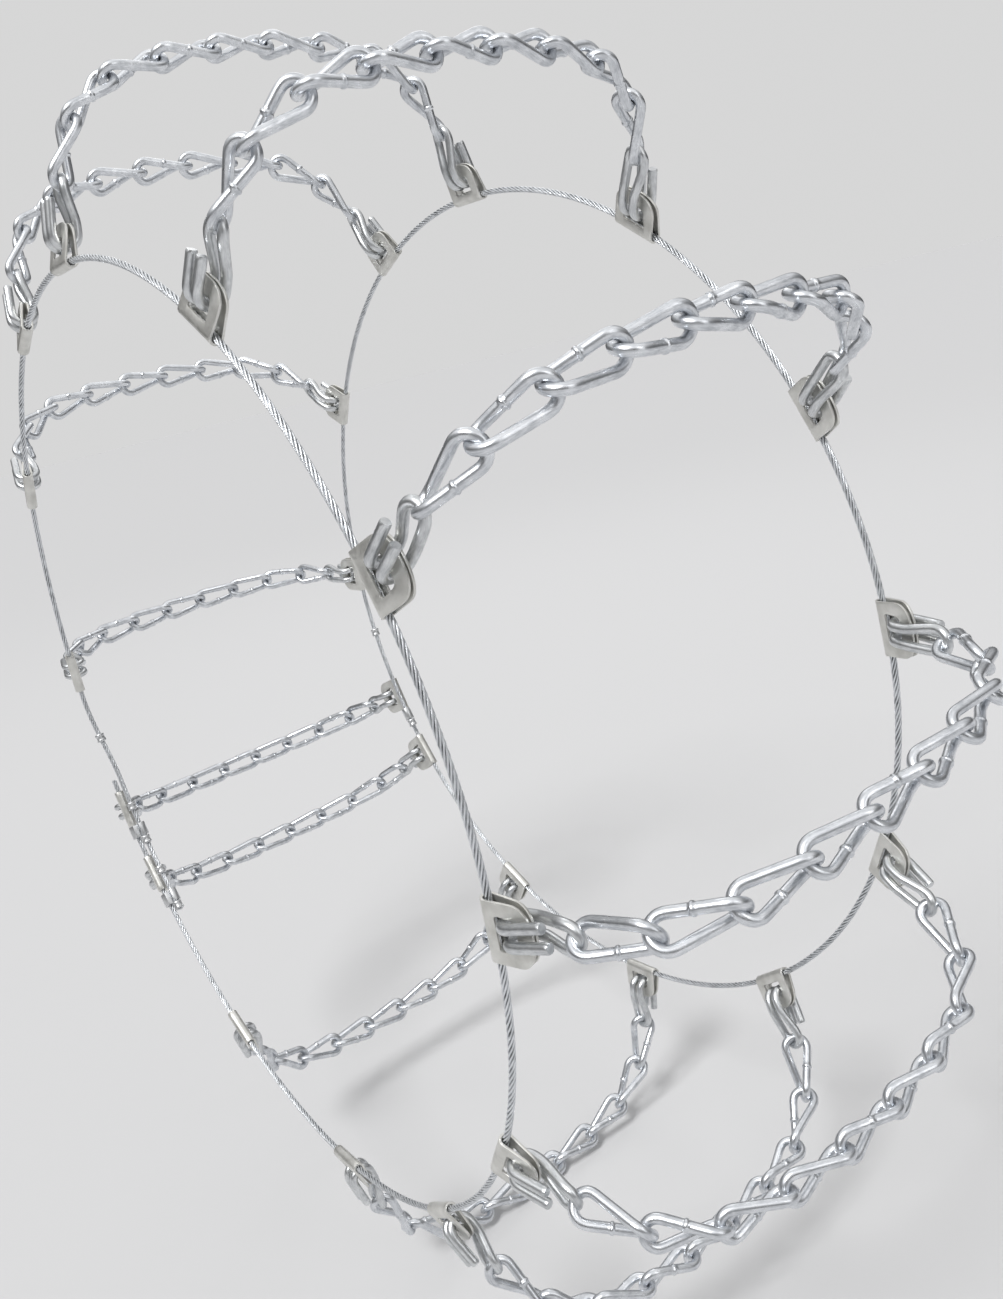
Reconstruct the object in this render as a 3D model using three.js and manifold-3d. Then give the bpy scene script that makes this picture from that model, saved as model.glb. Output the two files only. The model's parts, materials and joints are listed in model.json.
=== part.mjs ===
// Cable-sided snow chain, as it sits on a tyre. Millimetres, +Z up.
// The wheel axis runs along Y, the origin is the wheel's centre, and -Y is the outboard side.
import * as THREE from "three";
import { mergeVertices } from "three/addons/utils/BufferGeometryUtils.js";
import Module from "manifold-3d";

const wasm = await Module();
wasm.setup();

// Driving dimensions: cross chains
const WIRE_D = 4.5;
const LINK_PITCH = 28.7;
const LINK_WIDTH = 17;
const LINKS = 9;
const LINK_END = { corner: 3.4, share: 0.46, twist: 36 }; // where the end's curve starts; its flat share
const TWIST_AT_END = 45; // degrees that each end of a link is turned out of the chain's plane
const END_LINK_ROLL = 15; // extra degrees on the first and last link, to cross the hooks squarely

// Driving dimensions: the path that the link centres follow over the tyre, from mid-tread outwards
const CROWN_R = 338.5;
const CROWN_HALF = 59;
const CROWN_DROP = 5.7;
const SHOULDER_R = 60;
const SIDEWALL_LEAN = 0.27; // radians, sidewall run away from the radial direction

// Driving dimensions: side cables, clips and hooks
const CABLE_D = 3.2;
const HOOK_REACH = 37; // side cable's centre to the first link joint
const CLIP_LENGTH = 24.8;
const CLIP_REACH = 18.4; // side cable's centre to the clip's outer edge
const CLIP_SIDE = 9.8; // side cable's centre to where the outer edge starts to curve
const CLIP_CORNER = 0.8; // power that squares the outer edge's curve up from an ellipse
const CLIP_CURVE_STEPS = 6;
const CLIP_RUNOUT = 2; // the cable stays straight this far past each end of a clip
const FOLD_LENGTH = 0.6; // the fold's round part ends this far past the cable's centre
const SEAM_LENGTH = 3.2; // the two leaves are pressed together over this length at the outer edge
const SHEET = 1.2;
const SLOT = { inner: 3.1, outer: 11.2, half: 7.2 };
const PRONG_SPREAD = 7.2;
const PRONG_TIP = 26.5;
const HOOK_SPREAD = 9.4;
const HOOK_LIFT = 5.8; // prong's centre above the clip's middle plane
const HOOK_PIVOT = 7.1; // side cable's centre to where both legs pass straight through the slot
const HOOK_BEND = { reach: 12, rise: 4.4 }; // where the bend ends, and half its straight stretch
const BIGHT_FLAT = 0.5; // share of the bight's width that is flat at its end

// Driving dimensions: side fasteners
const TAIL_INSET = 7.4; // free cable end, from the cable that it is latched to
const TAIL_TILT = 25; // degrees from straight inwards towards the tyre, for the free end's place
const CATCH_LENGTH = 9;
const CATCH_R = 3.5;
const CATCH_LIP = 1; // chamfer on the open notch's edge
const CATCH_DRAFT = 4; // degrees that the notch's wall leans beyond the cable's way out
const CATCH_SHIFT = 0.2; // the catch's bore follows the cable, which stands this far outside its ring
const FERRULE = { length: 5.5, radius: 3.2 };
const HINGE_GAP = 2;
const CABLE_PLAY = 0.5; // clearance round a cable, in every piece that holds it
const ROPE_SIDES = 8;
const CABLE_STEP = 7; // degrees between the bends of a side cable
const TAIL_STEP = 4;

// Stations round the wheel, in degrees from +X towards +Z, in the order along the side cables.
// skew is how far the far end of the cross chain is turned ahead of its near end, and bow is how far
// its middle is turned ahead of the line between its ends.
const STATIONS = [
  { angle: -161, skew: 0, bow: 0 },
  { angle: -149.5, skew: 0, bow: 0 },
  { angle: -120, skew: 0, bow: 0 },
  { angle: -88, skew: 0, bow: 0 },
  { angle: -60, skew: 2, bow: 0.5 },
  { angle: -34.5, skew: 9, bow: 2 },
  { angle: -5.5, skew: 8, bow: 1 },
  { angle: 25, skew: 1, bow: 3.7 },
  { angle: 55, skew: 1, bow: 0.6 },
  { angle: 88.5, skew: -1, bow: 0.5 },
  { angle: 113, skew: -2, bow: 0.2 },
  { angle: 143.5, skew: 0, bow: 0 },
  { angle: 175.5, skew: 0, bow: 0 },
];
const CABLE_START = -166;
const TAIL_SHIFT = [180, 194]; // where the free end leaves the ring, and where it runs beside it
const TAIL_HINGE = 188.7;
const NEAR_SIDE = {
  name: "near",
  side: -1,
  catches: [-156.9, -144.7],
  ferrules: [186.7, 199, 205, 210.6, 217.2],
  tailEnd: 218,
};
const FAR_SIDE = {
  name: "far",
  side: 1,
  catches: [-156.9],
  ferrules: [186.7, 205],
  tailEnd: 205.8,
};

const WIRE_R = WIRE_D / 2;
const CABLE_R = CABLE_D / 2;
const CABLE_BORE = CABLE_R + CABLE_PLAY;
const ROD_R = WIRE_R * 1.2; // centre to corner of the square section that stands for the round wire
const CONTACT = WIRE_R * 0.68; // joint to the centre of each of the two wires that bear, and merge, there
const RAD = Math.PI / 180;
const Y_AXIS = new THREE.Vector3(0, 1, 0);
const Z_AXIS = new THREE.Vector3(0, 0, 1);

const crownArcR = (CROWN_HALF ** 2 + CROWN_DROP ** 2) / (2 * CROWN_DROP);
const crownTurn = Math.asin(CROWN_HALF / crownArcR);
const shoulderTurn = Math.PI / 2 - SIDEWALL_LEAN - crownTurn;

const zinc = new THREE.MeshStandardMaterial({ color: 0xb9bec4, roughness: 0.32, metalness: 0.9 });
const plate = new THREE.MeshStandardMaterial({ color: 0xbdb9ac, roughness: 0.42, metalness: 0.85 });
const rope = new THREE.MeshStandardMaterial({ color: 0xa9aeb2, roughness: 0.5, metalness: 0.8 });
const sleeve = new THREE.MeshStandardMaterial({ color: 0xb4b8ba, roughness: 0.4, metalness: 0.8 });

// Radius and Y of the link-centre path, at the distance s along it from mid-tread.
function pathAt(s) {
  const side = Math.sign(s) || 1;
  const along = Math.abs(s);
  const crownLength = crownArcR * crownTurn;
  if (along < crownLength) {
    const turn = along / crownArcR;
    return { r: CROWN_R - crownArcR * (1 - Math.cos(turn)), y: side * crownArcR * Math.sin(turn) };
  }
  const turn = Math.min((along - crownLength) / SHOULDER_R, shoulderTurn);
  const rest = Math.max(along - crownLength - SHOULDER_R * shoulderTurn, 0);
  const heading = crownTurn + turn;
  const r = CROWN_R - CROWN_DROP - SHOULDER_R * (Math.cos(crownTurn) - Math.cos(heading));
  const y = CROWN_HALF + SHOULDER_R * (Math.sin(heading) - Math.sin(crownTurn));
  return { r: r - rest * Math.sin(heading), y: side * (y + rest * Math.cos(heading)) };
}

const END_JOINT_S = (LINKS / 2) * LINK_PITCH;
const CLIP_S = END_JOINT_S + HOOK_REACH;
const CLIP_STRAIGHT = CLIP_LENGTH / 2 + CLIP_RUNOUT;
const ring = pathAt(CLIP_S);

// A point at the given radius, Y and angle round the wheel.
function wheelPoint(radius, y, degrees) {
  return new THREE.Vector3(radius * Math.cos(degrees * RAD), y, radius * Math.sin(degrees * RAD));
}

// How far a cross chain is turned ahead of its near clip, at the distance s from mid-tread.
function turnAhead(s, { skew, bow }) {
  const share = s / CLIP_S;
  return (skew * (1 + share)) / 2 + bow * (1 - share ** 2);
}

// A path through corners, sampled exactly at those corners.
class Route extends THREE.Curve {
  constructor(corners, closed = false) {
    super();
    this.corners = corners;
    this.closed = closed;
    this.steps = closed ? corners.length : corners.length - 1;
  }

  corner(index) {
    const count = this.corners.length;
    return this.corners[this.closed ? (index + count) % count : THREE.MathUtils.clamp(index, 0, count - 1)];
  }

  getPointAt(u, target = new THREE.Vector3()) {
    return target.copy(this.corner(Math.round(u * this.steps)));
  }

  getTangentAt(u, target = new THREE.Vector3()) {
    const index = Math.round(u * this.steps);
    const before = this.corner(index).clone().sub(this.corner(index - 1)).normalize();
    const after = this.corner(index + 1).clone().sub(this.corner(index)).normalize();
    return target.copy(before).add(after).normalize();
  }
}

function openTube(corners, radius, sides) {
  const section = new THREE.Shape();
  for (let i = 0; i < sides; i += 1) {
    const turn = (i / sides) * 2 * Math.PI;
    if (i === 0) section.moveTo(radius, 0);
    else section.lineTo(radius * Math.cos(turn), radius * Math.sin(turn));
  }
  const route = new Route(corners);
  return new THREE.ExtrudeGeometry(section, { steps: route.steps, extrudePath: route, bevelEnabled: false });
}

function closedTube(corners, radius, sides) {
  const route = new Route(corners, true);
  return new THREE.TubeGeometry(route, route.steps, radius, sides, true);
}

function toSolid(geometry) {
  const bare = geometry.clone();
  bare.deleteAttribute("normal");
  bare.deleteAttribute("uv");
  const merged = mergeVertices(bare, 1e-4);
  const vertProperties = new Float32Array(merged.attributes.position.array);
  const triVerts = new Uint32Array(merged.index.array);
  return new wasm.Manifold(new wasm.Mesh({ numProp: 3, vertProperties, triVerts }));
}

function toGeometry(solid) {
  const mesh = solid.getMesh();
  const geometry = new THREE.BufferGeometry();
  geometry.setAttribute("position", new THREE.BufferAttribute(new Float32Array(mesh.vertProperties), 3));
  geometry.setIndex(new THREE.BufferAttribute(new Uint32Array(mesh.triVerts), 1));
  geometry.computeVertexNormals();
  return geometry;
}

// The outer skin alone, without the tiny voids that can stay where two wires bear on each other.
function outerBody(solid) {
  return solid.decompose().reduce((best, body) => (body.volume() > best.volume() ? body : best));
}

// Axes at an end of a cross chain at angle 0: x along the side cable, y towards the chain, z off the tyre.
function endFrame(side) {
  const cable = pathAt(side * CLIP_S);
  const joint = pathAt(side * END_JOINT_S);
  const outwards = new THREE.Vector3(joint.r - cable.r, joint.y - cable.y, 0).normalize();
  const off = new THREE.Vector3(-side * outwards.y, side * outwards.x, 0);
  const along = outwards.clone().cross(off);
  return new THREE.Matrix4().makeBasis(along, outwards, off).setPosition(cable.r, cable.y, 0);
}

// Folded sheet-metal clip: a fold round the cable, two leaves meeting at the outer edge, and a hook slot.
function clipGeometry() {
  const outer = CABLE_BORE + SHEET;
  const section = new THREE.Shape();
  section.moveTo(CLIP_REACH, SHEET);
  section.lineTo(FOLD_LENGTH, outer);
  section.absarc(0, 0, outer, 0.5 * Math.PI, 1.5 * Math.PI, false);
  section.lineTo(FOLD_LENGTH, -outer);
  section.lineTo(CLIP_REACH, -SHEET);
  const tunnel = new THREE.Path();
  tunnel.moveTo(CLIP_REACH - SEAM_LENGTH, 0);
  tunnel.lineTo(FOLD_LENGTH, CABLE_BORE);
  tunnel.absarc(0, 0, CABLE_BORE, 0.5 * Math.PI, 1.5 * Math.PI, false);
  tunnel.lineTo(FOLD_LENGTH, -CABLE_BORE);
  section.holes.push(tunnel);
  const folded = new THREE.ExtrudeGeometry(section, {
    depth: CLIP_LENGTH,
    curveSegments: 2,
    bevelEnabled: false,
  });
  folded.translate(0, 0, -CLIP_LENGTH / 2);
  const sectionAxes = [new THREE.Vector3(0, 1, 0), new THREE.Vector3(0, 0, 1), new THREE.Vector3(1, 0, 0)];
  folded.applyMatrix4(new THREE.Matrix4().makeBasis(...sectionAxes));

  const half = CLIP_LENGTH / 2;
  const outline = new THREE.Shape();
  outline.moveTo(-half, -2 * outer);
  outline.lineTo(half, -2 * outer);
  for (let i = 0; i <= CLIP_CURVE_STEPS; i += 1) {
    const turn = (i / CLIP_CURVE_STEPS) * Math.PI;
    const across = Math.sign(Math.cos(turn)) * Math.abs(Math.cos(turn)) ** CLIP_CORNER;
    outline.lineTo(half * across, CLIP_SIDE + (CLIP_REACH - CLIP_SIDE) * Math.sin(turn) ** CLIP_CORNER);
  }
  const depth = 4 * outer;
  const blank = new THREE.ExtrudeGeometry(outline, { depth, bevelEnabled: false });
  blank.translate(0, 0, -depth / 2);

  const slotHeight = SLOT.outer - SLOT.inner;
  const slot = new THREE.BoxGeometry(2 * SLOT.half, slotHeight, depth);
  slot.translate(0, SLOT.inner + slotHeight / 2, 0);
  return toGeometry(toSolid(folded).intersect(toSolid(blank)).subtract(toSolid(slot)));
}

// Wire hook: the bight holds the end link, and both legs pass through the slot and fold back off the tyre.
// It leans about the slot, so that its bight meets a joint that stands aside along the cable by that much.
function hookGeometry(aside) {
  const straight = HOOK_REACH - HOOK_PIVOT;
  const bightR = HOOK_SPREAD / 2;
  const bightU = HOOK_PIVOT + Math.hypot(straight, aside) + CONTACT - bightR;
  const t = PRONG_SPREAD / 2;
  const leg = [new THREE.Vector3(t, PRONG_TIP, HOOK_LIFT)];
  leg.push(new THREE.Vector3(t, HOOK_BEND.reach, HOOK_LIFT));
  leg.push(new THREE.Vector3(t, HOOK_PIVOT, HOOK_BEND.rise));
  leg.push(new THREE.Vector3(t, HOOK_PIVOT, -HOOK_BEND.rise));
  leg.push(new THREE.Vector3(t, HOOK_BEND.reach, -HOOK_LIFT));
  leg.push(new THREE.Vector3(bightR, bightU + 1, 0));
  leg.push(new THREE.Vector3(bightR * BIGHT_FLAT, bightU + bightR, 0));
  const mirrored = leg.map((point) => new THREE.Vector3(-point.x, point.y, point.z)).reverse();
  const hook = openTube([...leg, ...mirrored], ROD_R, 4);
  hook.translate(0, -HOOK_PIVOT, 0);
  hook.rotateZ(-Math.atan2(aside, straight));
  return hook.translate(0, HOOK_PIVOT, 0);
}

// One twisted link from joint to joint. x runs along the link, z off the tyre.
function linkGeometry(from, to, off, roll) {
  const along = to.clone().sub(from);
  const length = along.length();
  const x = along.clone().normalize();
  const y = off.clone().cross(x).normalize();
  const z = x.clone().cross(y);
  const place = new THREE.Matrix4().makeBasis(x, y, z).setPosition(from);
  const halfWidth = (LINK_WIDTH - WIRE_D) / 2;
  const flatHalf = halfWidth * LINK_END.share;
  const loop = [
    [-CONTACT, flatHalf, -TWIST_AT_END],
    [LINK_END.corner, halfWidth, -LINK_END.twist],
    [length - LINK_END.corner, halfWidth, LINK_END.twist],
    [length + CONTACT, flatHalf, TWIST_AT_END],
    [length + CONTACT, -flatHalf, TWIST_AT_END],
    [length - LINK_END.corner, -halfWidth, LINK_END.twist],
    [LINK_END.corner, -halfWidth, -LINK_END.twist],
    [-CONTACT, -flatHalf, -TWIST_AT_END],
  ];
  const corners = loop.map(([distance, across, twist]) => {
    const turn = (twist + roll) * RAD;
    return new THREE.Vector3(distance, across * Math.cos(turn), across * Math.sin(turn));
  });
  return closedTube(corners, ROD_R, 4).applyMatrix4(place);
}

// The hook at one end of a cross chain whose near clip is at angle 0.
function endHook(side, entry) {
  const clipTurn = turnAhead(side * CLIP_S, entry);
  const jointTurn = turnAhead(side * END_JOINT_S, entry) - clipTurn;
  const aside = side * pathAt(side * END_JOINT_S).r * Math.sin(jointTurn * RAD);
  return hookGeometry(aside).applyMatrix4(endFrame(side)).rotateY(-clipTurn * RAD);
}

// A whole cross chain whose near clip is at angle 0.
function crossChainGeometry(entry) {
  let chain = toSolid(endHook(-1, entry)).add(toSolid(endHook(1, entry)));
  for (let i = 0; i < LINKS; i += 1) {
    const [start, end] = [i, i + 1].map((joint) => {
      const s = joint * LINK_PITCH - END_JOINT_S;
      return { ...pathAt(s), turn: turnAhead(s, entry) };
    });
    const from = wheelPoint(start.r, start.y, start.turn);
    const to = wheelPoint(end.r, end.y, end.turn);
    const off = new THREE.Vector3(end.y - start.y, start.r - end.r, 0);
    off.applyAxisAngle(Y_AXIS, (-(start.turn + end.turn) / 2) * RAD);
    const roll = i === 0 ? -END_LINK_ROLL : i === LINKS - 1 ? END_LINK_ROLL : 0;
    chain = chain.add(toSolid(linkGeometry(from, to, off, roll)));
  }
  return toGeometry(outerBody(chain));
}

// Route of a side cable: straight through each clip, curved between them.
function cableCorners(clipAngles, fromAngle, toAngle, y) {
  const corners = [wheelPoint(ring.r, y, fromAngle)];
  const straightTurn = Math.atan(CLIP_STRAIGHT / ring.r) / RAD;
  const straightR = Math.hypot(ring.r, CLIP_STRAIGHT);
  clipAngles.forEach((angle, index) => {
    corners.push(wheelPoint(straightR, y, angle - straightTurn));
    corners.push(wheelPoint(straightR, y, angle + straightTurn));
    if (index === clipAngles.length - 1) return;
    const open = clipAngles[index + 1] - angle - 2 * straightTurn;
    const pieces = Math.max(1, Math.round(open / CABLE_STEP));
    for (let i = 1; i < pieces; i += 1) {
      corners.push(wheelPoint(straightR, y, angle + straightTurn + (open * i) / pieces));
    }
  });
  corners.push(...tailCorners(TAIL_SHIFT[0], toAngle, y));
  return corners;
}

// A point on the centre line of the ferruled end, which leaves the ring and runs beside it.
function tailPoint(degrees, y) {
  const shift = TAIL_INSET * THREE.MathUtils.smoothstep(degrees, ...TAIL_SHIFT);
  const depth = Math.sign(y) * shift * Math.sin(TAIL_TILT * RAD);
  return wheelPoint(ring.r - shift * Math.cos(TAIL_TILT * RAD), y - depth, degrees);
}

function tailCorners(fromAngle, toAngle, y) {
  const pieces = Math.ceil((toAngle - fromAngle) / TAIL_STEP);
  const corners = [];
  for (let i = 0; i <= pieces; i += 1) {
    corners.push(tailPoint(THREE.MathUtils.lerp(fromAngle, toAngle, i / pieces), y));
  }
  return corners;
}

// Crimped block on one cable, with an open notch beside it that the ferruled cable lies in.
function catchGeometry(side) {
  const section = new THREE.Shape();
  section.moveTo(0, -CATCH_R);
  section.lineTo(TAIL_INSET, -CATCH_R);
  section.absarc(TAIL_INSET, 0, CATCH_R, -0.5 * Math.PI, 0, false);
  section.lineTo(TAIL_INSET + CATCH_R, CATCH_R - CATCH_LIP);
  section.lineTo(TAIL_INSET + CABLE_BORE, CATCH_R);
  section.lineTo(TAIL_INSET + CABLE_BORE, 0);
  section.absarc(TAIL_INSET, 0, CABLE_BORE, 0, -Math.PI, true);
  section.lineTo(TAIL_INSET - CABLE_BORE - CATCH_R * Math.tan((TAIL_TILT + CATCH_DRAFT) * RAD), CATCH_R);
  section.lineTo(0, CATCH_R);
  section.absarc(0, 0, CATCH_R, 0.5 * Math.PI, 1.5 * Math.PI, false);
  const bore = new THREE.Path();
  bore.absarc(0, 0, CABLE_BORE, 0, 2 * Math.PI, false);
  section.holes.push(bore);
  const geometry = new THREE.ExtrudeGeometry(section, {
    depth: CATCH_LENGTH,
    curveSegments: 4,
    bevelEnabled: false,
  });
  geometry.translate(0, 0, -CATCH_LENGTH / 2);
  const inwards = new THREE.Vector3(-1, 0, 0).applyAxisAngle(Z_AXIS, side * TAIL_TILT * RAD);
  const off = new THREE.Vector3(0, side, 0).applyAxisAngle(Z_AXIS, side * TAIL_TILT * RAD);
  return geometry.applyMatrix4(new THREE.Matrix4().makeBasis(inwards, off, inwards.clone().cross(off)));
}

function ferruleGeometry() {
  const half = FERRULE.length / 2;
  const profile = [
    new THREE.Vector2(CABLE_BORE, -half),
    new THREE.Vector2(FERRULE.radius, -half),
    new THREE.Vector2(FERRULE.radius, half),
    new THREE.Vector2(CABLE_BORE, half),
    new THREE.Vector2(CABLE_BORE, -half),
  ];
  return new THREE.LatheGeometry(profile, ROPE_SIDES);
}

function named(name, geometry, material) {
  const mesh = new THREE.Mesh(geometry, material);
  mesh.name = name;
  return mesh;
}

// One station: the clips on both side cables and the cross chain between them.
function station(number, entry) {
  const group = new THREE.Group();
  group.rotation.y = -entry.angle * RAD;
  const label = String(number).padStart(2, "0");
  const nearClip = named(`near_clip_${label}`, clip, plate);
  nearClip.applyMatrix4(endFrame(-1));
  const farEnd = new THREE.Group();
  farEnd.rotation.y = -entry.skew * RAD;
  const farClip = named(`far_clip_${label}`, clip, plate);
  farClip.applyMatrix4(endFrame(1));
  farEnd.add(farClip);
  group.add(nearClip, farEnd, named(`cross_chain_${label}`, crossChainGeometry(entry), zinc));
  return group;
}

// One side: the long cable, its free end, and the pieces crimped on both.
function sideCable({ name, side, catches, ferrules, tailEnd }) {
  const group = new THREE.Group();
  const y = side * ring.y;
  const clipAngles = STATIONS.map(({ angle, skew }) => angle + (side > 0 ? skew : 0));
  const long = openTube(cableCorners(clipAngles, CABLE_START, TAIL_HINGE, y), CABLE_R, ROPE_SIDES);
  const tailStart = TAIL_HINGE + HINGE_GAP / ring.r / RAD;
  const tail = openTube(tailCorners(tailStart, tailEnd, y), CABLE_R, ROPE_SIDES);
  group.add(named(`${name}_side_cable`, long, rope), named(`${name}_cable_tail`, tail, rope));

  catches.forEach((angle, index) => {
    const mesh = named(`${name}_catch_${index + 1}`, catchGeometry(side), sleeve);
    mesh.position.copy(wheelPoint(ring.r + CATCH_SHIFT, y, angle));
    mesh.rotation.y = -angle * RAD;
    group.add(mesh);
  });

  const halfTurn = FERRULE.length / 2 / ring.r / RAD;
  ferrules.forEach((angle, index) => {
    const [before, after] = [tailPoint(angle - halfTurn, y), tailPoint(angle + halfTurn, y)];
    const mesh = named(`${name}_ferrule_${index + 1}`, ferruleGeometry(), sleeve);
    mesh.position.copy(before).lerp(after, 0.5);
    mesh.quaternion.setFromUnitVectors(Y_AXIS, after.clone().sub(before).normalize());
    group.add(mesh);
  });
  return group;
}

const clip = clipGeometry();
const snowChain = new THREE.Group();
STATIONS.forEach((entry, index) => snowChain.add(station(index + 1, entry)));
snowChain.add(sideCable(NEAR_SIDE), sideCable(FAR_SIDE));

export default snowChain;
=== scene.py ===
import json
import math
import random

import bmesh
import bpy
import numpy as np
from mathutils import Matrix, Vector


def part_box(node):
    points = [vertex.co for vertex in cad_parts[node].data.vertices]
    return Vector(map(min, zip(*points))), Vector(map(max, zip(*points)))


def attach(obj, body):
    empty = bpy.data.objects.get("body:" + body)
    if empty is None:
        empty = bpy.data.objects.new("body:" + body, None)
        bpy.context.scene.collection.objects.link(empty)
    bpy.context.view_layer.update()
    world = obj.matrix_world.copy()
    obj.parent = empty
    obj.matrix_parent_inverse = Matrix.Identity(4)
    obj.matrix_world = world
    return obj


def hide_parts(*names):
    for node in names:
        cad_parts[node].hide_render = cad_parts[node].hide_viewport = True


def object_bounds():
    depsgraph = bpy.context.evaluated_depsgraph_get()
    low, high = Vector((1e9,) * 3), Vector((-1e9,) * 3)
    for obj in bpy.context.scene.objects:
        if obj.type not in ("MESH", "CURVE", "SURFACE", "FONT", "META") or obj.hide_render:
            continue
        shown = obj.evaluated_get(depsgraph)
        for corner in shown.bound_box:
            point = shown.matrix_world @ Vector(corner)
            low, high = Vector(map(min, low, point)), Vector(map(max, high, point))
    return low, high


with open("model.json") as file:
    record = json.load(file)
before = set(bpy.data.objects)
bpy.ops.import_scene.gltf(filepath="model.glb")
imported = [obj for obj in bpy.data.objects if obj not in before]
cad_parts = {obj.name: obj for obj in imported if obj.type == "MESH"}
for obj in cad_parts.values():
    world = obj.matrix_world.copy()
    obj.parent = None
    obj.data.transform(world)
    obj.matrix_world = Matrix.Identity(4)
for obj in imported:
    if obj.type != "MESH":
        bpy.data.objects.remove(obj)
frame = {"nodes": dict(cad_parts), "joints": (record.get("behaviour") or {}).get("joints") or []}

cad_box = [list(corner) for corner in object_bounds()]
random.seed(12)
MM = 0.001

# Camera: metres, degrees, and millimetres of lens
CAMERA_PLACE = (0.5805, -0.2943, 0.1747)
CAMERA_TURN = (74.79, 13.20, 54.19)
CAMERA_LENS = 32.25

# Cross chains, in millimetres. The path of the link centres is the CAD model's.
WIRE_D = 4.5
LINK_PITCH = 28.7
LINK_WIDTH = 17.0
LINKS = 9
TWIST_AT_END = 45  # degrees, like the next two
TWIST_AT_ROD = 36  # where a link's round end meets its two rods, which run straight between
END_LINK_ROLL = 15
LINK_ROLL_PLAY = 2.5  # degrees either way
BEARING = 0.98  # from a joint to the centre of each wire that bears there, in wire radii
CROWN_R = 338.5
CROWN_HALF = 59.0
CROWN_DROP = 5.7
SHOULDER_R = 60.0
SIDEWALL_LEAN = 0.27
BOW = {5: 0.5, 6: 2, 7: 1, 8: 3.7, 9: 0.6, 10: 0.5, 11: 0.2}  # degrees that a chain's middle is ahead
LINK_ROUNDING = 0.15  # what the smoothing takes off each end
LINK_SMOOTHING = 6  # rounds
ROD_STEPS = 12
BEND_STEPS = 20
POINT_STEP = 0.8  # along a bent wire, before it is smoothed
LINK_RING_STEP = 1.05
WIRE_SIDES = 16
WELD_RISE = 0.45
WELD_HALF = 0.95
WELD_RINGS = (-1.0, -0.72, -0.4, 0, 0.4, 0.72, 1.0)  # in WELD_HALF, like the next two
WELD_CLEAR = 1.3  # plain rings keep this far from the middle
WELD_RAMP = 0.5
# Which of a link's two rods has the weld, from a chain's near end
WELDS_SEEN = {6: "-+--+-+-+", 7: "-+--+--++", 8: "-++-+-++-", 9: "-+-+-++-+", 10: "+-+--+-+-"}
WELDS_USUAL = "+--+-++-+"

# Hooks, clips, cables and fasteners, in millimetres
CABLE_D = 3.2
CABLE_SHIFT = 0.2  # the cable stands this far outside its ring
HOOK_REACH = 37.0
HOOK_PIVOT = 7.1
HOOK_LIFT = 5.8
PRONG_SPREAD = 7.2
PRONG_TIPS = (28.5, 28.5)  # reach of a hook's two prongs
PRONG_TIPS_SEEN = {6: (32.0, 32.0), 7: (32.0, 32.0), 8: (26.0, 29.5), 9: (26.0, 26.0)}
PRONG_MID = 6.0  # from the bend's end to where a prong starts to flare
PRONG_FLARE = (1.03, 1.06)  # of the spread, there and at the tip
PRONG_RISE = (0.2, 0.5)  # away from the tyre, there and at the tip
HOOK_SPREAD = 10.6
BACK_LEG = {"run": 6.5, "aside": 0.2, "rise": 0.6}  # where it leaves the bend
BIGHT_START = {"run": 3.0, "drop": 0.8}
HOOK_BEND_STEPS = 12
BIGHT_STEPS = 6
HOOK_SMOOTHING = 7  # rounds
CUT_END = 0.86  # radius of a wire's chamfered end, in wire radii
CLIP_LENGTH = 26.0
CLIP_REACH = 18.4
CLIP_SIDE = 9.8
CLIP_CORNER = 0.8  # exponent of its rounded outer edge
FOLD_R = 2.6
SHEET = 1.15
LEAF_GAP = 0.8
SLOT = {"inner": 3.1, "outer": 11.8, "half": 7.6, "taper": 1.2, "corners": [1.2, 1.2, 2.4, 2.4]}
SHEET_BEVEL = 0.16
CLIP_EDGE_STEPS = 24
CORNER_STEPS = 5
FOLD_CUTS = 16
LEAF_CUTS = 5
CROSS_CUTS = (-8.5, -4.2, 0, 4.2, 8.5)
CURL = {"aside": 0.72, "along": 0.45, "size": 1.6}  # the leaves' corners stand up past these shares
MERGE_NEAR = 0.002
CUT_NEAR = 1e-4
CLIP_SLIDE = {7: -1.3, 8: 1.6, 9: 2.2}  # play of a near clip along its cable
HOOK_SLIDE = {7: -1.9, 8: 0.9, 9: 1.7}  # play of a near hook in its slot
PRONG_TURN = {6: 6, 7: 7, 8: 1.5}  # degrees that a near hook's prongs are bent aside
TAIL_INSET = 7.4  # from the ring to the free end beside it
TAIL_TILT = 25  # degrees that the free end lies towards the tyre
CABLE_START = -166  # degrees round the wheel, like the next four
TAIL_SHIFT = (180, 194)  # where the free end leaves the ring, and where it runs beside it
TAIL_STEP = 0.5
TAIL_HINGE = 188.7
TAIL_ENDS = {"near": 218, "far": 205.8}
CATCH_LENGTH = 9.0
CATCH_R = 3.5
CATCH_DRAFT = 29  # degrees that the notch's inner wall leans back
CATCH_PLAY = 0.35
CATCH_WAIST = 0.86  # depth between the barrels, in CATCH_R
CATCH_LIP = 0.72  # height of the notch's lips, in CATCH_R
CATCH_SHOULDER = (0.99, 0.93)  # where the inner lip meets the first barrel, in CATCH_R
CATCH_BEVEL = 0.3
FERRULE_LENGTH = 5.5
FERRULE_R = 3.15
FERRULE_END = [(0, 0.84), (0.02, 0.93), (0.07, 0.97), (0.14, 1.0)]  # shares of its length and radius
FERRULE_END += [(0.24, 1.0), (0.3, 0.955), (0.38, 0.93)]
FERRULE_MIDDLE = 0.925
FERRULE_SIDES = 36
FERRULE_FLATS = 6
FLAT_DEPTH = 0.045
STRANDS = 6
STRAND_SIDES = 6
ROPE_LAY = 22.5  # length of a strand's whole turn about the rope
ROPE_STEP = 2.0
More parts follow.
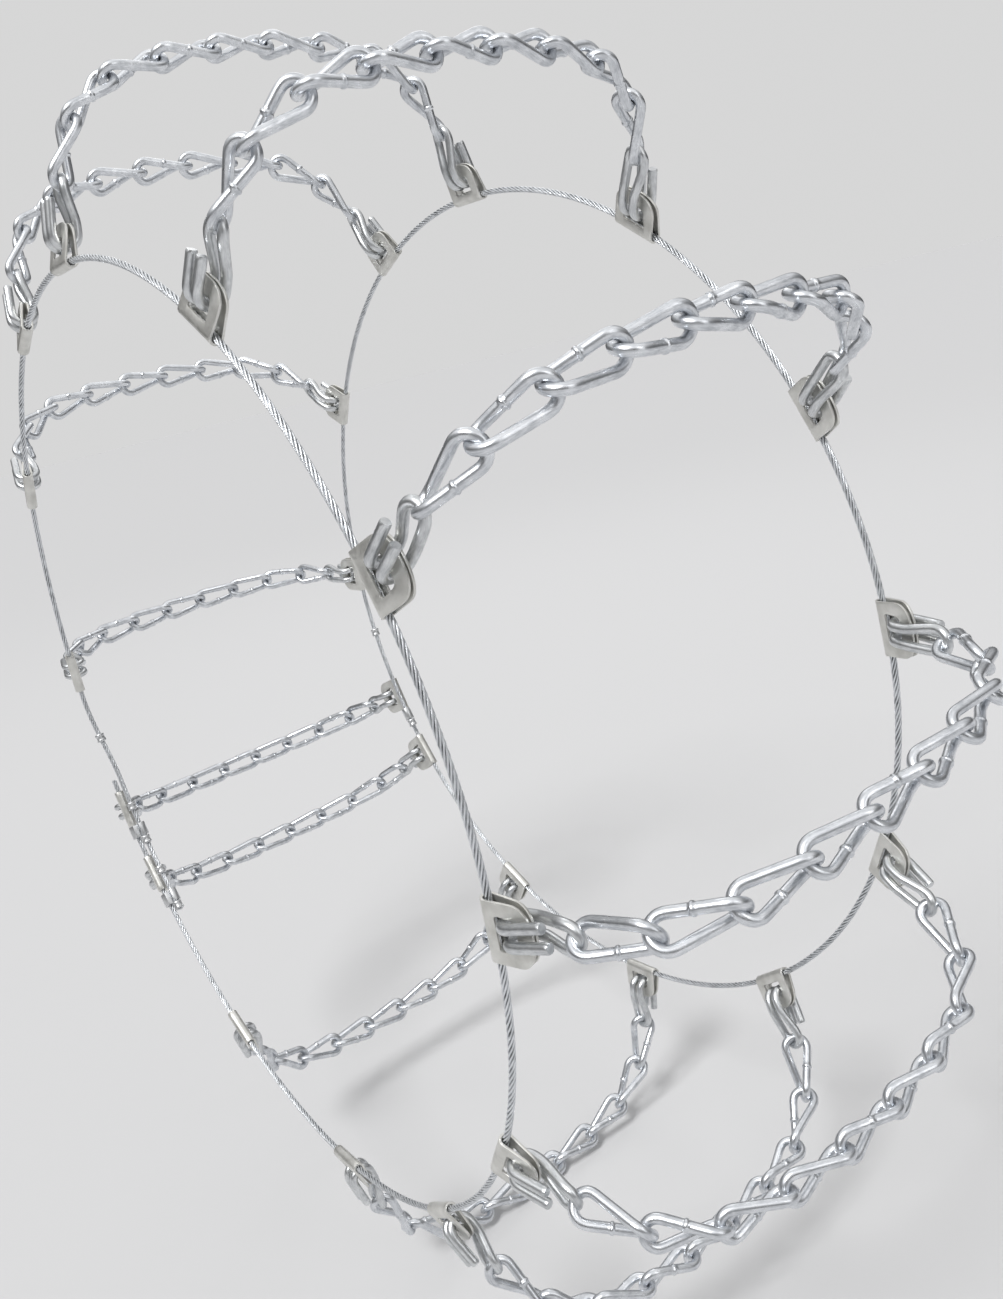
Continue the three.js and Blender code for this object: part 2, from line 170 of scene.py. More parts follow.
WIRES_ACROSS = 5  # wires seen across one strand
GROOVE_PAINTED_SHADE = -0.24  # painted shade: how much darker than its crests the rope is painted between strands, where the grooves lie in shade

WIRE_R = WIRE_D / 2
CABLE_R = CABLE_D / 2


# Frames and paths, in millimetres

def path_at(s):
    """Radius and Y of the link-centre path, at the distance s along it from mid-tread."""
    side = -1 if s < 0 else 1
    along = abs(s)
    arc_r = (CROWN_HALF ** 2 + CROWN_DROP ** 2) / (2 * CROWN_DROP)
    crown = math.asin(CROWN_HALF / arc_r)
    if along < arc_r * crown:
        turn = along / arc_r
        return CROWN_R - arc_r * (1 - math.cos(turn)), side * arc_r * math.sin(turn)
    shoulder = math.pi / 2 - SIDEWALL_LEAN - crown
    turn = min((along - arc_r * crown) / SHOULDER_R, shoulder)
    rest = max(along - arc_r * crown - SHOULDER_R * shoulder, 0)
    heading = crown + turn
    r = CROWN_R - CROWN_DROP - SHOULDER_R * (math.cos(crown) - math.cos(heading))
    y = CROWN_HALF + SHOULDER_R * (math.sin(heading) - math.sin(crown))
    return r - rest * math.sin(heading), side * (y + rest * math.cos(heading))


END_JOINT_S = LINKS / 2 * LINK_PITCH
CLIP_S = END_JOINT_S + HOOK_REACH
RING_R, RING_Y = path_at(CLIP_S)


def wheel_point(radius, y, degrees):
    angle = math.radians(degrees)
    return Vector((radius * math.cos(angle), y, radius * math.sin(angle)))


def turn_ahead(s, skew, bow):
    """Degrees that a cross chain is turned ahead of its near clip, at the distance s from mid-tread."""
    share = s / CLIP_S
    return skew * (1 + share) / 2 + bow * (1 - share ** 2)


def end_frame(side, degrees):
    """Axes at a clip: x along the side cable, y towards the chain, z off the tyre."""
    cable, joint = path_at(side * CLIP_S), path_at(side * END_JOINT_S)
    outwards = Vector((joint[0] - cable[0], joint[1] - cable[1], 0)).normalized()
    off = Vector((-side * outwards.y, side * outwards.x, 0))
    along = outwards.cross(off)
    axes = Matrix((along, outwards, off)).transposed().to_4x4()
    axes.translation = (cable[0], cable[1], 0)
    return Matrix.Rotation(-math.radians(degrees), 4, "Y") @ axes


def tail_point(degrees, y):
    """A point on the centre line of the ferruled end, which leaves the ring and runs beside it."""
    low, high = TAIL_SHIFT
    share = min(max((degrees - low) / (high - low), 0), 1)
    shift = TAIL_INSET * share * share * (3 - 2 * share)
    tilt = math.radians(TAIL_TILT)
    depth = math.copysign(shift * math.sin(tilt), y)
    return wheel_point(RING_R + CABLE_SHIFT - shift * math.cos(tilt), y - depth, degrees)


# Mesh building

ANY_DIRECTION = (0.31, 0.52, 0.79)
CAP_SIZE = 0.1  # of a wire's end faces in UV space


def sweep(points, radii, sides, closed, section=None, lay=0, part=slice(None)):
    """A wire along the points: vertices, faces and (around, along) coordinates, in the points' units.

    section scales the radius by (around, along), lay is the length in which it turns once about the wire,
    and part picks the points that are kept, so that pieces of one wire meet without a seam.
    """
    line = np.array(points, float)
    count = len(line)
    if closed:
        tangents = np.roll(line, -1, 0) - np.roll(line, 1, 0)
    else:
        tangents = np.gradient(line, axis=0)
    tangents /= np.linalg.norm(tangents, axis=1)[:, None]
    normal = np.cross(tangents[0], ANY_DIRECTION)
    normal /= np.linalg.norm(normal)
    normals = [normal]
    for i in range(1, count):
        normal = normal - tangents[i] * (normal @ tangents[i])
        normal /= np.linalg.norm(normal)
        normals.append(normal)
    normals = np.array(normals)
    binormals = np.cross(tangents, normals)
    steps = np.linalg.norm(np.diff(line, axis=0, append=line[:1]), axis=1)
    along = np.concatenate(([0], np.cumsum(steps)))
    slip = np.zeros(count)
    if closed:
        last = normals[-1] - tangents[0] * (normals[-1] @ tangents[0])
        twist = math.atan2(last @ binormals[0], last @ normals[0])
        slip = -twist * along[:count] / along[count]
    if lay:
        slip = slip + 2 * math.pi * along[:count] / lay
    around = np.linspace(0, 2 * math.pi, sides, endpoint=False)
    angle = around[None, :] + slip[:, None]
    radius = np.array(radii, float)[:, None] * np.ones(sides)[None, :]
    if section is not None:
        radius = radius * section(around[None, :], along[:count, None])
    rings = (
        line[:, None, :]
        + normals[:, None, :] * (np.cos(angle) * radius)[..., None]
        + binormals[:, None, :] * (np.sin(angle) * radius)[..., None]
    )
    rings, along = rings[part], along[part]
    count = len(rings)
    vertices = rings.reshape(-1, 3)
    faces, coords = [], []
    rows = count if closed else count - 1
    for i in range(rows):
        a, b = i * sides, ((i + 1) % count) * sides
        for j in range(sides):
            k = (j + 1) % sides
            faces.append((a + j, a + k, b + k, b + j))
            u0, u1 = j / sides, (j + 1) / sides
            coords += [(u0, along[i]), (u1, along[i]), (u1, along[i + 1]), (u0, along[i + 1])]
    if not closed:
        faces.append(tuple(reversed(range(sides))))
        faces.append(tuple(range((count - 1) * sides, count * sides)))
        cap = [(0.5 + CAP_SIZE * math.cos(a), CAP_SIZE * math.sin(a)) for a in around]
        coords += cap[::-1] + cap
    return vertices, faces, coords


def mesh_piece(name, vertices, faces, coords, place, materials, sharp=40):
    """A piece from millimetre vertices, set in the row frame by place, which is in millimetres too."""
    mesh = bpy.data.meshes.new(name)
    turned = np.array(vertices, float) @ np.array(place.to_3x3()).T + np.array(place.translation)
    mesh.from_pydata((turned * MM).tolist(), [], faces)
    if coords:
        layer = mesh.uv_layers.new(name="UVMap")
        layer.data.foreach_set("uv", np.array(coords, np.float32).ravel())
    for material in materials:
        mesh.materials.append(material)
    mesh.shade_smooth()
    mesh.set_sharp_from_angle(angle=math.radians(sharp))
    piece = bpy.data.objects.new(name, mesh)
    bpy.context.scene.collection.objects.link(piece)
    return piece


def belongs(piece, body, slot, *nodes):
    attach(piece, body)
    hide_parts(*nodes)


def resample(points, step):
    """Points about step apart along the straight pieces between the given ones, ends kept."""
    line = np.array(points, float)
    lengths = np.concatenate(([0], np.cumsum(np.linalg.norm(np.diff(line, axis=0), axis=1))))
    wanted = np.linspace(0, lengths[-1], max(2, int(lengths[-1] / step)))
    return np.stack([np.interp(wanted, lengths, line[:, k]) for k in range(3)], axis=1)


def relax(points, rounds):
    """The points with their corners rounded off, ends kept."""
    line = np.array(points, float)
    for _ in range(rounds):
        line[1:-1] = (line[:-2] + 2 * line[1:-1] + line[2:]) / 4
    return line


# Materials. Distances of bumps are in metres, and each ramp's stops are (position, grey or colour).

STREAK_SHARE = 0.45  # of the drawing streaks in a wire's tone, the rest being cloud
DULLER, BRIGHTER = 0.12, 0.06  # a wire's roughness above and below its usual one


def new_material(name):
    material = bpy.data.materials.new(name)
    material.use_nodes = True
    return material, material.node_tree.nodes, material.node_tree.links


def ramp(nodes, stops):
    node = nodes.new("ShaderNodeValToRGB")
    while len(node.color_ramp.elements) < len(stops):
        node.color_ramp.elements.new(0.5)
    for element, (position, colour) in zip(node.color_ramp.elements, stops):
        element.position = position
        element.color = (*colour, 1) if hasattr(colour, "__len__") else (colour, colour, colour, 1)
    return node


def noise(nodes, links, source, scale, detail, stretch=(1, 1, 1)):
    mapping = nodes.new("ShaderNodeMapping")
    mapping.inputs["Scale"].default_value = stretch
    links.new(source, mapping.inputs["Vector"])
    node = nodes.new("ShaderNodeTexNoise")
    node.inputs["Scale"].default_value = scale
    node.inputs["Detail"].default_value = detail
    links.new(mapping.outputs["Vector"], node.inputs["Vector"])
    return node.outputs["Fac"]


def arithmetic(nodes, links, operation, *values):
    node = nodes.new("ShaderNodeMath")
    node.operation = operation
    for socket, value in zip(node.inputs, values):
        if isinstance(value, (int, float)):
            socket.default_value = value
        else:
            links.new(value, socket)
    return node.outputs["Value"]


def bump(nodes, links, height, strength, distance, before=None):
    node = nodes.new("ShaderNodeBump")
    node.inputs["Strength"].default_value = strength
    node.inputs["Distance"].default_value = distance
    links.new(height, node.inputs["Height"])
    if before is not None:
        links.new(before, node.inputs["Normal"])
    return node.outputs["Normal"]


def zinc_material(name, dark, light, rough, streak_along):
    """Bright zinc plate: cloudy tone, drawing streaks along the wire and a fine satin grain.

    streak_along is how many streaks follow each other in a millimetre of wire.
    """
    material, nodes, links = new_material(name)
    shader = nodes["Principled BSDF"]
    shader.inputs["Metallic"].default_value = 1.0
    place = nodes.new("ShaderNodeTexCoord")
    cloud = noise(nodes, links, place.outputs["Object"], scale=160, detail=5)
    streaks = noise(nodes, links, place.outputs["UV"], scale=1.0, detail=3, stretch=(26, streak_along, 1))
    grain = noise(nodes, links, place.outputs["Object"], scale=1500, detail=3)
    mixed = nodes.new("ShaderNodeMix")
    mixed.data_type = "FLOAT"
    mixed.inputs["Factor"].default_value = STREAK_SHARE
    links.new(cloud, mixed.inputs["A"])
    links.new(streaks, mixed.inputs["B"])
    colour = ramp(nodes, [(0.34, dark), (0.62, light)])
    links.new(mixed.outputs["Result"], colour.inputs["Fac"])
    links.new(colour.outputs["Color"], shader.inputs["Base Color"])
    gloss = ramp(nodes, [(0.3, rough + DULLER), (0.7, rough - BRIGHTER)])
    links.new(mixed.outputs["Result"], gloss.inputs["Fac"])
    links.new(gloss.outputs["Color"], shader.inputs["Roughness"])
    first = bump(nodes, links, streaks, strength=0.25, distance=0.0002)
    both = bump(nodes, links, grain, strength=0.22, distance=0.0001, before=first)
    links.new(both, shader.inputs["Normal"])
    return material


def sheet_material():
    """Satin zinc-plated sheet, slightly warm, with handling marks."""
    material, nodes, links = new_material("clip_sheet")
    shader = nodes["Principled BSDF"]
    shader.inputs["Metallic"].default_value = 0.92
    place = nodes.new("ShaderNodeTexCoord")
    cloud = noise(nodes, links, place.outputs["Object"], scale=110, detail=6)
    grain = noise(nodes, links, place.outputs["Object"], scale=900, detail=4)
    colour = ramp(nodes, [(0.32, (0.58, 0.575, 0.545)), (0.68, (0.77, 0.765, 0.735))])
    links.new(cloud, colour.inputs["Fac"])
    links.new(colour.outputs["Color"], shader.inputs["Base Color"])
    gloss = ramp(nodes, [(0.3, 0.5), (0.7, 0.34)])
    links.new(grain, gloss.inputs["Fac"])
    links.new(gloss.outputs["Color"], shader.inputs["Roughness"])
    first = bump(nodes, links, cloud, strength=0.2, distance=0.0006)
    both = bump(nodes, links, grain, strength=0.25, distance=0.00012, before=first)
    links.new(both, shader.inputs["Normal"])
    return material


def rope_material():
    """Galvanised wire rope: each strand's own fine wires cross it at a slant, with painted shade in the
    grooves between strands.
    """
    material, nodes, links = new_material("rope_wire")
    shader = nodes["Principled BSDF"]
    shader.inputs["Metallic"].default_value = 1.0
    place = nodes.new("ShaderNodeTexCoord")
    split = nodes.new("ShaderNodeSeparateXYZ")
    links.new(place.outputs["UV"], split.inputs["Vector"])
    across = arithmetic(nodes, links, "MULTIPLY_ADD", split.outputs["Y"], 1 / ROPE_LAY, split.outputs["X"])
    turns = arithmetic(nodes, links, "MULTIPLY", across, STRANDS * WIRES_ACROSS * 2 * math.pi)
    wires = arithmetic(nodes, links, "SINE", turns)
    cloud = noise(nodes, links, place.outputs["Object"], scale=220, detail=5)
    # painted shade: the rope's colour is made darker towards the grooves between strands, following the
    # cosine of the strands' phase
    crests = arithmetic(nodes, links, "MULTIPLY", split.outputs["X"], STRANDS * 2 * math.pi)
    crests = arithmetic(nodes, links, "COSINE", crests)
    tone = arithmetic(nodes, links, "MULTIPLY_ADD", crests, GROOVE_PAINTED_SHADE, cloud)
    colour = ramp(nodes, [(0.12, (0.27, 0.28, 0.29)), (0.4, (0.64, 0.66, 0.685)), (0.8, (0.88, 0.9, 0.925))])
    links.new(tone, colour.inputs["Fac"])
    links.new(colour.outputs["Color"], shader.inputs["Base Color"])
    gloss = ramp(nodes, [(0.3, 0.48), (0.7, 0.34)])
    links.new(cloud, gloss.inputs["Fac"])
    links.new(gloss.outputs["Color"], shader.inputs["Roughness"])
    links.new(bump(nodes, links, wires, strength=0.5, distance=0.00006), shader.inputs["Normal"])
    return material


zinc = zinc_material(
    "link_wire", dark=(0.5, 0.52, 0.55), light=(0.82, 0.84, 0.87), rough=0.29, streak_along=0.35
)
hook_zinc = zinc_material(
    "hook_wire", dark=(0.48, 0.495, 0.51), light=(0.77, 0.785, 0.795), rough=0.32, streak_along=0.35
)
sleeve = zinc_material(
    "sleeve_metal", dark=(0.5, 0.51, 0.52), light=(0.74, 0.75, 0.76), rough=0.36, streak_along=0.5
)
plate = sheet_material()
rope = rope_material()


# Cross chains

def link_shape(weld_side):
    """Centre line and wire radius round one twisted link: x along, from joint to joint."""
    wide = (LINK_WIDTH - WIRE_D) / 2
    reach = LINK_PITCH / 2 + WIRE_R * BEARING + LINK_ROUNDING - wide
    low, high = math.radians(TWIST_AT_ROD), math.radians(TWIST_AT_END)
    loop = []
    for side in (1, -1):
        corner = np.array((side * reach, side * wide * math.cos(low), wide * math.sin(low)))
        loop += [corner * (i / ROD_STEPS, 1, i / ROD_STEPS) for i in range(-ROD_STEPS, ROD_STEPS)]
        for i in range(BEND_STEPS):
            turn = math.pi * i / BEND_STEPS
            twist = side * (low + (high - low) * math.sin(turn))
            across = side * wide * math.cos(turn)
            x = side * (reach + wide * math.sin(turn))
            loop.append(np.array((x, across * math.cos(twist), across * math.sin(twist))))
    loop = np.roll(np.array(loop), -ROD_STEPS, 0)
    loop = resample(np.concatenate((loop, loop[:1])), POINT_STEP)[:-1]
    for _ in range(LINK_SMOOTHING):
        loop = (np.roll(loop, 1, 0) + 2 * loop + np.roll(loop, -1, 0)) / 4
    ring = np.concatenate((loop, loop[:1]))
    lengths = np.concatenate(([0], np.cumsum(np.linalg.norm(np.diff(ring, axis=0), axis=1))))
    total = lengths[-1]
    weld = 0 if weld_side > 0 else total / 2

    def from_weld(s):
        return np.abs((s - weld + total / 2) % total - total / 2)

    plain = np.arange(0, total, LINK_RING_STEP)
    plain = plain[from_weld(plain) > WELD_HALF * WELD_CLEAR]
    bead = (weld + np.array(WELD_RINGS) * WELD_HALF) % total
    where = np.sort(np.concatenate((plain, bead)))
    rise = WELD_RISE * np.clip((WELD_HALF - from_weld(where)) / (WELD_RAMP * WELD_HALF), 0, 1)
    points = np.stack([np.interp(where, lengths, ring[:, k]) for k in range(3)], axis=1)
    return points + (LINK_PITCH / 2, 0, 0), WIRE_R + rise


def link_place(start, end, off, roll):
    x = (end - start).normalized()
    y = off.cross(x).normalized()
    axes = Matrix((x, y, x.cross(y))).transposed().to_4x4() @ Matrix.Rotation(roll, 4, "X")
    axes.translation = start
    return axes


def hook_shape(aside, slide, prong_turn, tips):
    """Centre line of a hook in its clip's axes, from one prong's end to the other's.

    aside is how far its link joint is to one side, and slide is its own play in the slot.
    """
    straight = HOOK_REACH - HOOK_PIVOT
    t, bight_r = PRONG_SPREAD / 2, HOOK_SPREAD / 2
    bend_u = HOOK_PIVOT + HOOK_LIFT
    bight_u = HOOK_PIVOT + math.hypot(straight, aside) + WIRE_R * BEARING - bight_r
    leg = [(t * PRONG_FLARE[0], bend_u + PRONG_MID, HOOK_LIFT + PRONG_RISE[0])]
    for i in range(HOOK_BEND_STEPS + 1):
        turn = math.pi / 2 - math.pi * i / HOOK_BEND_STEPS
        leg.append((t, bend_u - HOOK_LIFT * math.cos(turn), HOOK_LIFT * math.sin(turn)))
    leg.append((t + BACK_LEG["aside"], bend_u + BACK_LEG["run"], -HOOK_LIFT + BACK_LEG["rise"]))
    leg.append((bight_r, bight_u - BIGHT_START["run"], -BIGHT_START["drop"]))
    for i in range(BIGHT_STEPS + 1):
        turn = math.pi / 2 * i / BIGHT_STEPS
        leg.append((bight_r * math.cos(turn), bight_u + bight_r * math.sin(turn), 0))
    whole = leg + [(-x, u, n) for x, u, n in reversed(leg[:-1])]
    end_t, end_n = t * PRONG_FLARE[1], HOOK_LIFT + PRONG_RISE[1]
    first, last = (end_t, tips[0], end_n), (-end_t, tips[1], end_n)
    line = relax(resample([first] + whole + [last], POINT_STEP), HOOK_SMOOTHING)
    lean = math.atan2(aside - slide, straight)
    front = np.clip((line[:, 2] + HOOK_LIFT) / (2 * HOOK_LIFT), 0, 1)
    front[np.abs(np.arange(len(line)) - len(line) / 2) < len(line) / 4] = 0  # the bight stays in line
    turn = math.radians(prong_turn) * front - lean
    x, u = line[:, 0], line[:, 1] - HOOK_PIVOT
    line[:, 0] = x * np.cos(turn) - u * np.sin(turn) + slide
    line[:, 1] = x * np.sin(turn) + u * np.cos(turn) + HOOK_PIVOT
    return line


def wire_ends(radius, count):
    """Radii along an open wire whose cut ends are lightly chamfered."""
    radii = [radius] * count
    radii[0] = radii[-1] = radius * CUT_END
    return radii


def station_angles(joint):
    """Angles of a station's near and far clips, from the line that its cross chain swings about."""
    near = Vector(joint["pos_m"])
    axis = Vector(joint["axis"])
    far = near - axis * (2 * near.y / axis.y)
    near_angle, far_angle = (math.degrees(math.atan2(p.z, p.x)) for p in (near, far))
    return near_angle, (far_angle - near_angle + 180) % 360 - 180


def cross_chain(number, angle, skew):
    body = f"cross_chain_{number:02d}"
    bow = BOW.get(number, 0)
    welds = WELDS_SEEN.get(number, WELDS_USUAL)
    joints = []
    for i in range(LINKS + 1):
        s = i * LINK_PITCH - END_JOINT_S
        r, y = path_at(s)
        joints.append((r, y, angle + turn_ahead(s, skew, bow)))
    for i in range(LINKS):
        (r0, y0, a0), (r1, y1, a1) = joints[i], joints[i + 1]
        start, end = wheel_point(r0, y0, a0), wheel_point(r1, y1, a1)
        off = wheel_point(y1 - y0, r0 - r1, (a0 + a1) / 2)  # square to the path, away from the tyre
        roll = random.uniform(-LINK_ROLL_PLAY, LINK_ROLL_PLAY)
        roll = {0: -END_LINK_ROLL, LINKS - 1: END_LINK_ROLL}.get(i, roll)
        points, radii = link_shape(1 if welds[i] == "+" else -1)
        shape = sweep(points, radii, WIRE_SIDES, True)
        place = link_place(start, end, off, math.radians(roll))
        piece = mesh_piece(f"{body}_link_{i + 1}", *shape, place, [zinc], sharp=55)
        belongs(piece, body, "link_zinc", body)
    for name, side in (("near", -1), ("far", 1)):
        ahead = turn_ahead(side * CLIP_S, skew, bow)
        joint_ahead = turn_ahead(side * END_JOINT_S, skew, bow) - ahead
        aside = side * path_at(side * END_JOINT_S)[0] * math.sin(math.radians(joint_ahead))
        seen = number if side < 0 else None
        tips = PRONG_TIPS_SEEN.get(seen, PRONG_TIPS)
        line = hook_shape(aside, HOOK_SLIDE.get(seen, 0), PRONG_TURN.get(seen, 0), tips)
        shape = sweep(line, wire_ends(WIRE_R, len(line)), WIRE_SIDES, False)
        piece = mesh_piece(f"{body}_{name}_hook", *shape, end_frame(side, angle + ahead), [hook_zinc])
        belongs(piece, body, "link_zinc", body)


# Clips

def rounded(corners, radii):
    """A closed outline whose corners are arcs of the given radii."""
    outline = []
    count = len(corners)
    for i, (corner, radius) in enumerate(zip(corners, radii)):
        here = Vector(corner)
        before = (Vector(corners[i - 1]) - here).normalized()
        after = (Vector(corners[(i + 1) % count]) - here).normalized()
        half = before.angle(after) / 2
        reach = radius / math.tan(half)
        centre = here + (before + after).normalized() * (radius / math.sin(half))
        start, end = here + before * reach - centre, here + after * reach - centre
        spread = start.angle(end)
        for k in range(CORNER_STEPS + 1):
            share = k / CORNER_STEPS
            weight_a = math.sin((1 - share) * spread) / math.sin(spread)
            weight_b = math.sin(share * spread) / math.sin(spread)
            outline.append(centre + start * weight_a + end * weight_b)
    return outline


def flat_sheet(outlines, thickness, bevel):
    """A flat plate in the XY plane with the given outline and holes, its edges lightly rounded."""
    curve = bpy.data.curves.new("sheet", "CURVE")
    curve.dimensions = "2D"
    curve.fill_mode = "BOTH"
    curve.extrude = thickness / 2 - bevel
    curve.bevel_depth = bevel
    curve.bevel_resolution = 1
    curve.offset = -bevel
    for outline in outlines:
        spline = curve.splines.new("POLY")
        spline.points.add(len(outline) - 1)
        for point, place in zip(spline.points, outline):
            point.co = (place[0], place[1], 0, 1)
        spline.use_cyclic_u = True
    holder = bpy.data.objects.new("sheet", curve)
    mesh = bpy.data.meshes.new_from_object(holder)
    bpy.data.objects.remove(holder)
    bpy.data.curves.remove(curve)
    shape = bmesh.new()
    shape.from_mesh(mesh)
    bpy.data.meshes.remove(mesh)
    bmesh.ops.remove_doubles(shape, verts=shape.verts, dist=MERGE_NEAR)
    return shape


def finished(shape):
    """Vertices and faces of the shape, with its faces turned outwards."""
    bmesh.ops.recalc_face_normals(shape, faces=shape.faces)
    for i, vertex in enumerate(shape.verts):
        vertex.index = i
    vertices = [tuple(v.co) for v in shape.verts]
    faces = [tuple(v.index for v in face.verts) for face in shape.faces]
    shape.free()
    return vertices, faces


def leaf_profile():
    """Length of the fold's arc to one side, its end angle, and the length of the straight leaf."""
    tip = Vector((CLIP_REACH, (SHEET + LEAF_GAP) / 2))
    end = math.atan2(tip.y, tip.x) + math.acos(FOLD_R / tip.length)
    return FOLD_R * (math.pi - end), end, math.sqrt(tip.length ** 2 - FOLD_R ** 2)


def folded_clip():
    """Vertices and faces of one clip in its own axes: the blank is cut flat, then folded round the cable."""
    arc, end, straight = leaf_profile()
    size = arc + straight
    half = CLIP_LENGTH / 2

    def developed(u):
        return size - (CLIP_REACH - u)

    edge = []
    for i in range(CLIP_EDGE_STEPS + 1):
        turn = math.pi * i / CLIP_EDGE_STEPS
        across = math.copysign(abs(math.cos(turn)) ** CLIP_CORNER, math.cos(turn))
        rise = (CLIP_REACH - CLIP_SIDE) * math.sin(turn) ** CLIP_CORNER
        edge.append((half * across, developed(CLIP_SIDE + rise)))
    low, high, wide = developed(SLOT["inner"]), developed(SLOT["outer"]), SLOT["half"]
    narrow = wide - SLOT["taper"]
    hole = [(-wide, low), (wide, low), (narrow, high), (-narrow, high)]
    outline = [edge + [(-x, -y) for x, y in edge]]
    outline.append(rounded(hole, SLOT["corners"]))
    outline.append(rounded([(-x, -y) for x, y in hole], SLOT["corners"]))
    shape = flat_sheet(outline, SHEET, SHEET_BEVEL)
    cuts = [(0, -arc + 2 * arc * i / FOLD_CUTS, 0) for i in range(FOLD_CUTS + 1)]
    cuts += [(0, side * (arc + straight * i / LEAF_CUTS), 0) for side in (1, -1) for i in range(1, LEAF_CUTS)]
    planes = [(cut, (0, 1, 0)) for cut in cuts] + [((cut, 0, 0), (1, 0, 0)) for cut in CROSS_CUTS]
    for place, normal in planes:
        everything = shape.verts[:] + shape.edges[:] + shape.faces[:]
        bmesh.ops.bisect_plane(shape, geom=everything, plane_co=place, plane_no=normal, dist=CUT_NEAR)
    for vertex in shape.verts:
        t, w, n = vertex.co
        side = 1 if w >= 0 else -1
        along = abs(w)
        if along <= arc:
            turn = math.pi - along / FOLD_R
            u, z = (FOLD_R + n) * math.cos(turn), (FOLD_R + n) * math.sin(turn)
        else:
            rest = along - arc
            u = (FOLD_R + n) * math.cos(end) + rest * math.sin(end)
            z = (FOLD_R + n) * math.sin(end) - rest * math.cos(end)
            curl = max(0, abs(t) / half - CURL["aside"]) * max(0, rest / straight - CURL["along"])
            z += curl * CURL["size"]
        vertex.co = (t, u, side * z)
    return finished(shape)


clip_vertices, clip_faces = folded_clip()


def clip_piece(name, side, angle, slide=0):
    place = end_frame(side, angle) @ Matrix.Translation((slide, 0, 0))
    piece = mesh_piece(f"{name}_plate", clip_vertices, clip_faces, None, place, [plate], sharp=35)
    belongs(piece, "side_cables", "clip_zinc", name)


# Side cables

def strand_lobes(around, along):
    """The radius of a section of round strands, as a share of the rope's."""
    phase = around * STRANDS / (2 * math.pi)
    nearest = (phase - np.floor(phase) - 0.5) * 2 * math.pi / STRANDS
    centre, strand = 2 / 3, 1 / 3  # six strands round a seventh
    inside = np.maximum(strand ** 2 - (centre * np.sin(nearest)) ** 2, 0)
    return centre * np.cos(nearest) + np.sqrt(inside)


def rope_piece(name, line, part, body, node):
    shape = sweep(line, [CABLE_R] * len(line), STRANDS * STRAND_SIDES, False, strand_lobes, ROPE_LAY, part)
    piece = mesh_piece(name, *shape, Matrix.Identity(4), [rope], sharp=75)
    belongs(piece, body, "rope_steel", node)


def side_cable(name, side):
    y = side * RING_Y
    ring = [wheel_point(RING_R + CABLE_SHIFT, y, degrees) for degrees in range(CABLE_START, TAIL_SHIFT[0])]
    count = int((TAIL_HINGE - TAIL_SHIFT[0]) / TAIL_STEP)
    shift = [tail_point(TAIL_SHIFT[0] + i * TAIL_STEP, y) for i in range(count + 1)]
    count = int((TAIL_ENDS[name] - TAIL_HINGE) / TAIL_STEP)
    tail = [tail_point(TAIL_HINGE + (TAIL_ENDS[name] - TAIL_HINGE) * i / count, y) for i in range(count + 1)]
    fixed = resample(ring + shift + tail[:1], ROPE_STEP)
    line = np.concatenate((fixed, resample(tail, ROPE_STEP)[1:]))
    hinge = len(fixed) - 1
    rope_piece(f"{name}_side_cable_rope", line, slice(hinge + 1), "side_cables", f"{name}_side_cable")
    rope_piece(f"{name}_cable_tail_rope", line, slice(hinge, None), f"{name}_tail", f"{name}_cable_tail")


# Ferrules and catches

def node_angle(node):
    low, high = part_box(node)
    centre = (low + high) / 2
    return math.degrees(math.atan2(centre.z, centre.x)) % 360


def ferrule_piece(node, side):
    """A short sleeve crimped on the cable, with flats pressed round its middle."""
    angle = node_angle(node)
    y = side * RING_Y
    half_turn = math.degrees(FERRULE_LENGTH / 2 / RING_R)
    before, after = tail_point(angle - half_turn, y), tail_point(angle + half_turn, y)
    stations = FERRULE_END + [(0.5, FERRULE_MIDDLE)]
    stations += [(1 - share, scale) for share, scale in reversed(FERRULE_END)]
    line = [before.lerp(after, share) for share, _ in stations]
    radii = [FERRULE_R * scale for _, scale in stations]

    def flats(around, along):
        press = np.sin(np.pi * along / FERRULE_LENGTH) ** 2
        return 1 - FLAT_DEPTH * (0.5 + 0.5 * np.cos(FERRULE_FLATS * around)) * press

    shape = sweep(line, radii, FERRULE_SIDES, False, flats)
    piece = mesh_piece(f"{node}_sleeve", *shape, Matrix.Identity(4), [sleeve], sharp=50)
    body = "side_cables" if node.endswith("_1") else f"{node.split('_')[0]}_tail"
    belongs(piece, body, "sleeve_metal", node)


